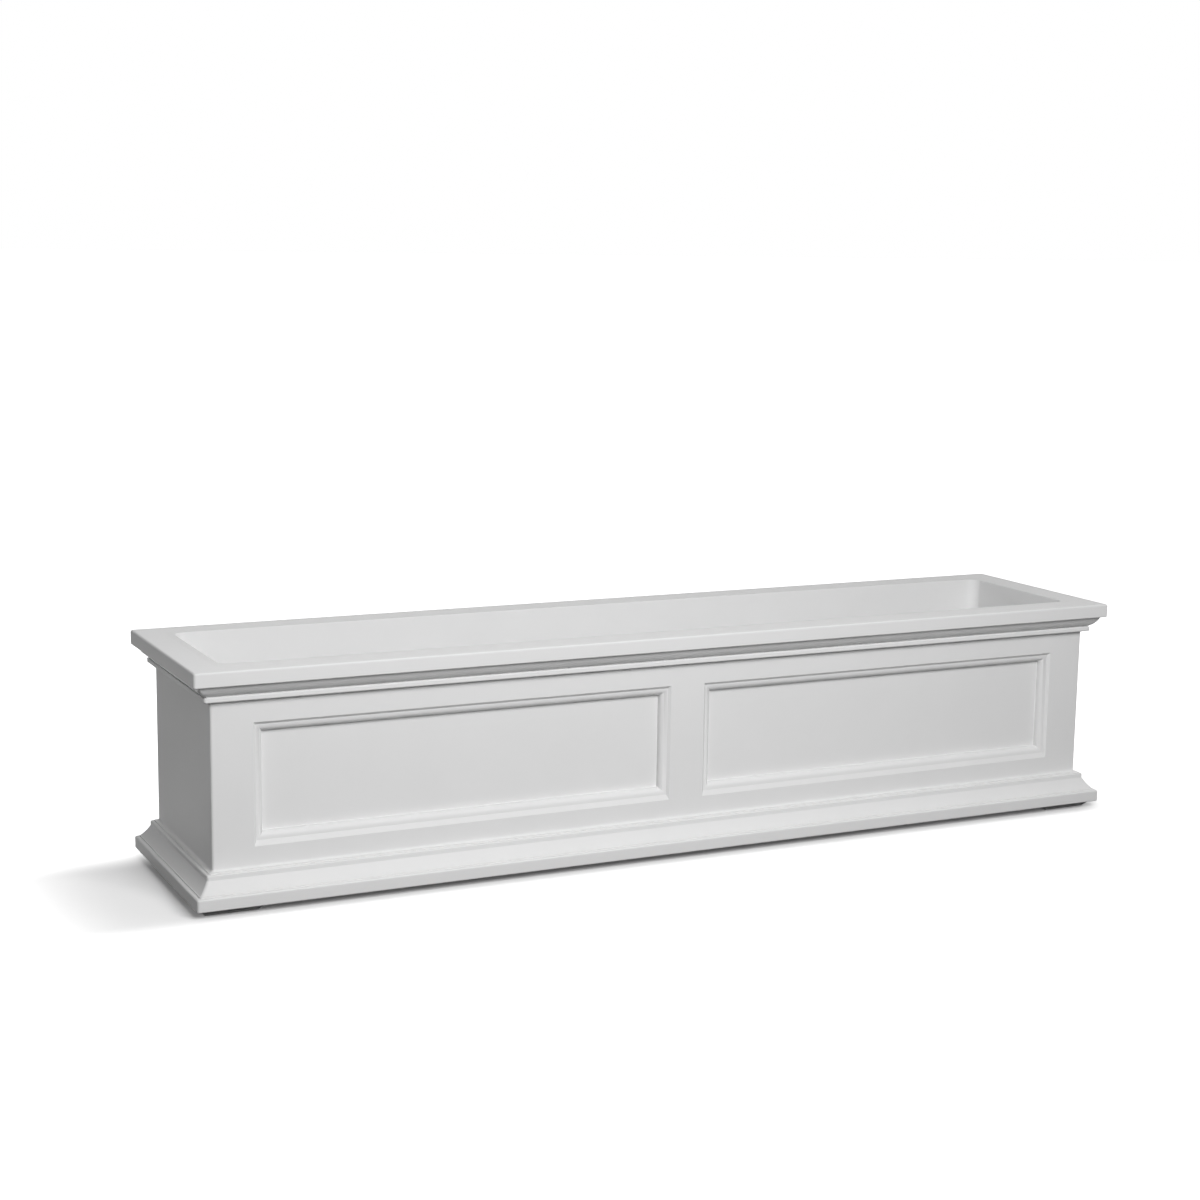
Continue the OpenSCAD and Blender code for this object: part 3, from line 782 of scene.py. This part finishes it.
def build_worked_metal():
    # metal turned or drawn on a machine: fine lines, dull clouds and a few darker spots
    line_size, line_squeeze, cloud_size, spot_size = 0.0014, 14, 0.0035, 0.0009
    spot_gain, spot_start = 5.0, -2.9
    group, given, result = new_group(
        "worked_metal", [("Lines", 0.3), ("Spots", 0.5)], ["Dull", "Spot", "Height"])
    place = group.nodes.new("ShaderNodeTexCoord").outputs["Object"]
    stretch = group.nodes.new("ShaderNodeMapping")
    stretch.inputs["Scale"].default_value = (1, 1, line_squeeze)
    group.links.new(place, stretch.inputs["Vector"])
    lines = noise(group, stretch.outputs["Vector"], line_size, 4, 0.6)
    cloud = noise(group, place, cloud_size, 4, 0.6)
    spot = noise(group, place, spot_size, 2)
    spot = calculate(group, "MULTIPLY_ADD", spot, spot_gain, spot_start)
    spot = calculate(group, "MAXIMUM", spot, 0.0)
    spot = calculate(group, "MULTIPLY", spot, given.outputs["Spots"])
    high = calculate(group, "MULTIPLY", lines, given.outputs["Lines"])
    group.links.new(cloud, result.inputs["Dull"])
    group.links.new(calculate(group, "MINIMUM", spot, 1.0), result.inputs["Spot"])
    group.links.new(high, result.inputs["Height"])
    return group


def bare_metal(name, bright, dull, spotted, gloss, lines, spots):
    # metal whose tone and gloss drift between bright and dull, with spots of oxide
    spot_rough = 0.2
    material, tree, shader = new_material(name)
    shader.inputs["Metallic"].default_value = 1
    surface = place_group(tree, worked_metal, Lines=lines, Spots=spots)
    tone = tone_mix(tree, surface["Dull"], bright, dull)
    tree.links.new(tone_mix(tree, surface["Spot"], tone, spotted), shader.inputs["Base Color"])
    rough = calculate(tree, "MULTIPLY_ADD", surface["Dull"], gloss[1] - gloss[0], gloss[0])
    rough = calculate(tree, "MULTIPLY_ADD", surface["Spot"], spot_rough, rough)
    tree.links.new(rough, shader.inputs["Roughness"])
    add_relief(tree, shader, surface["Height"], 0.0001)
    return material


worked_metal = build_worked_metal()
screws.data.materials.append(bare_metal(
    "zinc_plated_steel", bright=(0.68, 0.69, 0.70), dull=(0.50, 0.51, 0.53),
    spotted=(0.36, 0.35, 0.33), gloss=(0.22, 0.5), lines=0.5, spots=0.5))


# Four threaded brass inserts are moulded into the underside for wall brackets. Knurled bands
# with a groove between them lock each one in the plastic.
insert_low, insert_high = under_z, under_z + insert_length
insert_outer, insert_face, insert_groove = 0.0045, 0.0043, 0.0040
insert_bore, insert_mouth, insert_thread = 0.0025, 0.0031, 0.003
band_height, band_foot, band_edge, mouth_bevel = 0.0060, 0.0063, 0.0002, 0.0006
insert_pitch, insert_turns = 0.001, 15
knurl_teeth, knurl_sink, knurl_margin = 36, 0.95, 0.00005
inserts = turn("bracket_insert_set", [
    (insert_mouth, insert_low), (insert_face, insert_low), (insert_outer, insert_low + band_edge),
    (insert_outer, insert_low + band_height), (insert_groove, insert_low + band_foot),
    (insert_groove, insert_high - band_foot), (insert_outer, insert_high - band_height),
    (insert_outer, insert_high - band_edge), (insert_face, insert_high),
    (insert_mouth, insert_high), (insert_bore, insert_high - mouth_bevel),
    (insert_bore, insert_low + mouth_bevel)], [(0, 0)], 2 * knurl_teeth, ring=True)


def in_a_furrow(point):
    # every second upright line of points on the bands lies in a furrow of the knurl
    spot = round(math.atan2(point.co.y, point.co.x) * knurl_teeth / math.pi)
    return (spot % 2 == 1
            and math.hypot(point.co.x, point.co.y) > insert_outer - knurl_margin)


pick(inserts, in_a_furrow, "VERT")
bpy.ops.transform.resize(value=(knurl_sink, knurl_sink, 1), center_override=(0, 0, 0))
bpy.ops.object.mode_set(mode="OBJECT")
cut_from(inserts, [helix("insert_thread", insert_bore - thread_root, insert_thread, insert_pitch,
                         insert_low - insert_pitch / 2, insert_turns)])
set_out(inserts, insert_places)
finish_skin(inserts, "box", "bracket_inserts")
inserts.data.materials.append(bare_metal(
    "turned_brass", bright=(0.78, 0.60, 0.30), dull=(0.60, 0.44, 0.20),
    spotted=(0.30, 0.20, 0.10), gloss=(0.2, 0.42), lines=0.4, spots=0.4))


# Two grey overflow tubes run down through both floors. Slots under a tube's closed head set the
# water level, and its flange lies against the underside.
tube_outer, tube_bore, tube_flange, tube_mouth = 0.010, 0.0075, 0.017, 0.0083
tube_low, tube_high = 0.007, 0.074
flange_round, flange_top_round, head_round = 0.0005, 0.0004, 0.0014
slot_low, slot_high = 0.0635, 0.0715
slot_half, slot_reach, slot_round = 0.003, 0.012, 0.0008


def put_copy(piece, name, place, mirrored=False):
    # a copy with its own mesh, moved to its place or turned into its mirror image
    take_up(piece)
    bpy.ops.object.duplicate()
    copy = bpy.context.object
    copy.name = copy.data.name = name
    copy.location = (*place, 0)
    if mirrored:
        copy.scale = (-1, 1, 1)
    bpy.ops.object.transform_apply(location=True, rotation=False, scale=True)
    close_up(copy)
    return copy


tube = turn("overflow_tube_pattern", rounded([
    (0, tube_low, 0), (tube_flange, tube_low, flange_round),
    (tube_flange, under_z, flange_top_round), (tube_outer, under_z, flange_round),
    (tube_outer, tube_high, head_round), (0, tube_high, 0)])[1:-1], [(0, 0)])
slots = [
    block("slot", (-slot_half, -slot_reach, slot_low), (slot_half, slot_reach, slot_high)),
    block("cross_slot", (-slot_reach, -slot_half, slot_low), (slot_reach, slot_half, slot_high))]
for slot in slots:
    soften(slot, slot_round, 3)
cut_from(tube, [turn("tube_bore", [
    (tube_mouth, tube_low - past), (tube_mouth, tube_low + 0.0001),
    (tube_bore, tube_low + 0.0009), (tube_bore, slot_high - slot_round),
    (tube_bore - slot_round, slot_high)], [(0, 0)])] + slots)
tube_grey = moulded_plastic(
    "grey_tube", pale=(0.36, 0.37, 0.38), deep=(0.31, 0.32, 0.33),
    gloss=(0.35, 0.5), peel=0.01, wave=0.02, dust=0.05)
for side, place in (("left", tube_places[0]), ("right", tube_places[1])):
    piece = put_copy(tube, "overflow_pipe_" + side, place)
    finish_skin(piece, "box", "overflow_tube_" + side)
    piece.data.materials.append(tube_grey)
bpy.data.objects.remove(tube)


# A black rubber grommet seals each tube in the trough's floor, with a lip below and a sloping
# lip above. Its profile starts and ends under the lower lip.
seal_lip, seal_neck, seal_bore, seal_start = 0.017, 0.01295, 0.01005, 0.0135
lip_height, lip_slope = 0.002, 0.001
seal_low, seal_high = trough_z - lip_height, bed_z + lip_height
seal = turn("grommet_pattern", rounded([
    (seal_start, seal_low, 0), (seal_lip, seal_low, 0.0008), (seal_lip, trough_z, 0.0004),
    (seal_neck, trough_z, 0.0002), (seal_neck, bed_z, 0.0002), (seal_lip, bed_z, 0.0004),
    (seal_lip - lip_slope, seal_high, 0.0007), (seal_bore, seal_high, 0.0005),
    (seal_bore, seal_low, 0.0005), (seal_start - 0.0001, seal_low, 0)]), [(0, 0)], ring=True)
seal_black, tree, shader = new_material("black_rubber")
shader.inputs["IOR"].default_value = 1.5
surface = place_group(tree, moulded_skin, Peel=0.03, Wave=0.05)
bloom = place_group(tree, settled_dust, Amount=0.5)["Dust"]
bloom_tone = (0.2, 0.19, 0.18)
tone = tone_mix(tree, surface["Cloud"], (0.016, 0.016, 0.017), (0.03, 0.03, 0.031))
tree.links.new(tone_mix(tree, bloom, tone, bloom_tone), shader.inputs["Base Color"])
rough = calculate(tree, "MULTIPLY_ADD", surface["Gloss"], 0.25, 0.5)
tree.links.new(rough, shader.inputs["Roughness"])
add_relief(tree, shader, surface["Height"], 0.001)
for side, place in (("left", tube_places[0]), ("right", tube_places[1])):
    piece = put_copy(seal, "rubber_grommet_" + side, place)
    finish_skin(piece, "box", "tube_grommet_" + side)
    piece.data.materials.append(seal_black)
bpy.data.objects.remove(seal)


# Two loose shelves of grey plastic stand in the trough on hollow legs and keep the soil above
# the water. Each is a ribbed tray turned upside down, with drain holes and two finger holes.
shelf_near, shelf_far, shelf_half = 0.001, 0.5576, 0.0877
shelf_plan = (shelf_near, shelf_far, shelf_half)
shelf_middle = (shelf_near + shelf_far) / 2
shelf_low, shelf_under, shelf_top = 0.078, 0.088, 0.091
shelf_foot_round, shelf_round = 0.0006, 0.0012
far_corner, near_corner = 0.015, 0.002
rib, pocket_bevel = 0.0025, 0.0008
leg_low, leg_outer, leg_bore, leg_root = bed_z + 0.0001, 0.008, 0.0055, 0.0015
leg_bevel, bore_bevel = 0.0006, 0.0005
drain_hole, finger_hole, finger_apart = 0.004, 0.0125, 0.187
hole_pitch, leg_row = 0.034, 0.0617
leg_columns = (-7, -4, 0, 4, 7)
leg_places = [(shelf_middle + hole_pitch * i, y) for i in leg_columns for y in (-leg_row, leg_row)]
drain_places = [(shelf_middle + hole_pitch * (i + 0.5), leg_row * (2 * j / 3 - 1))
                for i in range(-7, 7) for j in range(4)]
finger_places = [(shelf_middle - finger_apart, 0), (shelf_middle + finger_apart, 0)]


def shelf_outline(inward):
    # round corners at the box's end, tight ones where the two shelves meet
    return [(far_corner - inward, 9, lambda point: point.co.x > shelf_middle),
            (near_corner, 4, lambda point: point.co.x < shelf_near + inward + 0.001)]


shelf = raise_plan("soil_shelf_pattern", rounded([
    (end_inset, shelf_low, 0), (0, shelf_low, shelf_foot_round), (0, shelf_top, shelf_round),
    (end_inset, shelf_top, 0)]), shelf_outline(0), shelf_plan)
pocket = raise_plan(
    "pocket", [(rib, shelf_low - past), (rib, shelf_under - pocket_bevel),
               (rib + pocket_bevel, shelf_under)], shelf_outline(rib), shelf_plan, rib)
cut_from(pocket, [block("rib", (shelf_middle + hole_pitch * i - rib / 2, -0.1, 0.07),
                        (shelf_middle + hole_pitch * i + rib / 2, 0.1, 0.1))
                  for i in leg_columns])
cut_from(shelf, [pocket])
cut_from(shelf, [turn("legs", [
    (leg_outer - leg_bevel, leg_low), (leg_outer, leg_low + leg_bevel),
    (leg_outer, shelf_under + leg_root)], leg_places, 32)], "UNION")
cut_from(shelf, [
    turn("leg_bores", [
        (leg_bore + bore_bevel, leg_low - past), (leg_bore + bore_bevel, leg_low + 0.0002),
        (leg_bore, leg_low + 0.0008), (leg_bore, shelf_under)], leg_places, 32),
    turn("drain_holes", [
        (drain_hole, shelf_under - past), (drain_hole, shelf_top - 0.0009),
        (drain_hole + 0.0003, shelf_top - 0.0003), (drain_hole + 0.0011, shelf_top + 0.0002)],
        drain_places, 24),
    turn("finger_holes", [
        (finger_hole, shelf_under - past), (finger_hole, shelf_top - 0.0012),
        (finger_hole + 0.0004, shelf_top - 0.0004), (finger_hole + 0.0014, shelf_top + 0.0002)],
        finger_places)])
shelf_grey = moulded_plastic(
    "grey_shelf", pale=(0.33, 0.34, 0.35), deep=(0.28, 0.29, 0.30),
    gloss=(0.4, 0.58), peel=0.02, wave=0.06, dust=0.25)
for side in ("left", "right"):
    piece = put_copy(shelf, "shelf_tray_" + side, (0, 0), mirrored=side == "left")
    finish_skin(piece, "shelf_" + side, "soil_shelf_" + side)
    piece.data.materials.append(shelf_grey)
bpy.data.objects.remove(shelf)
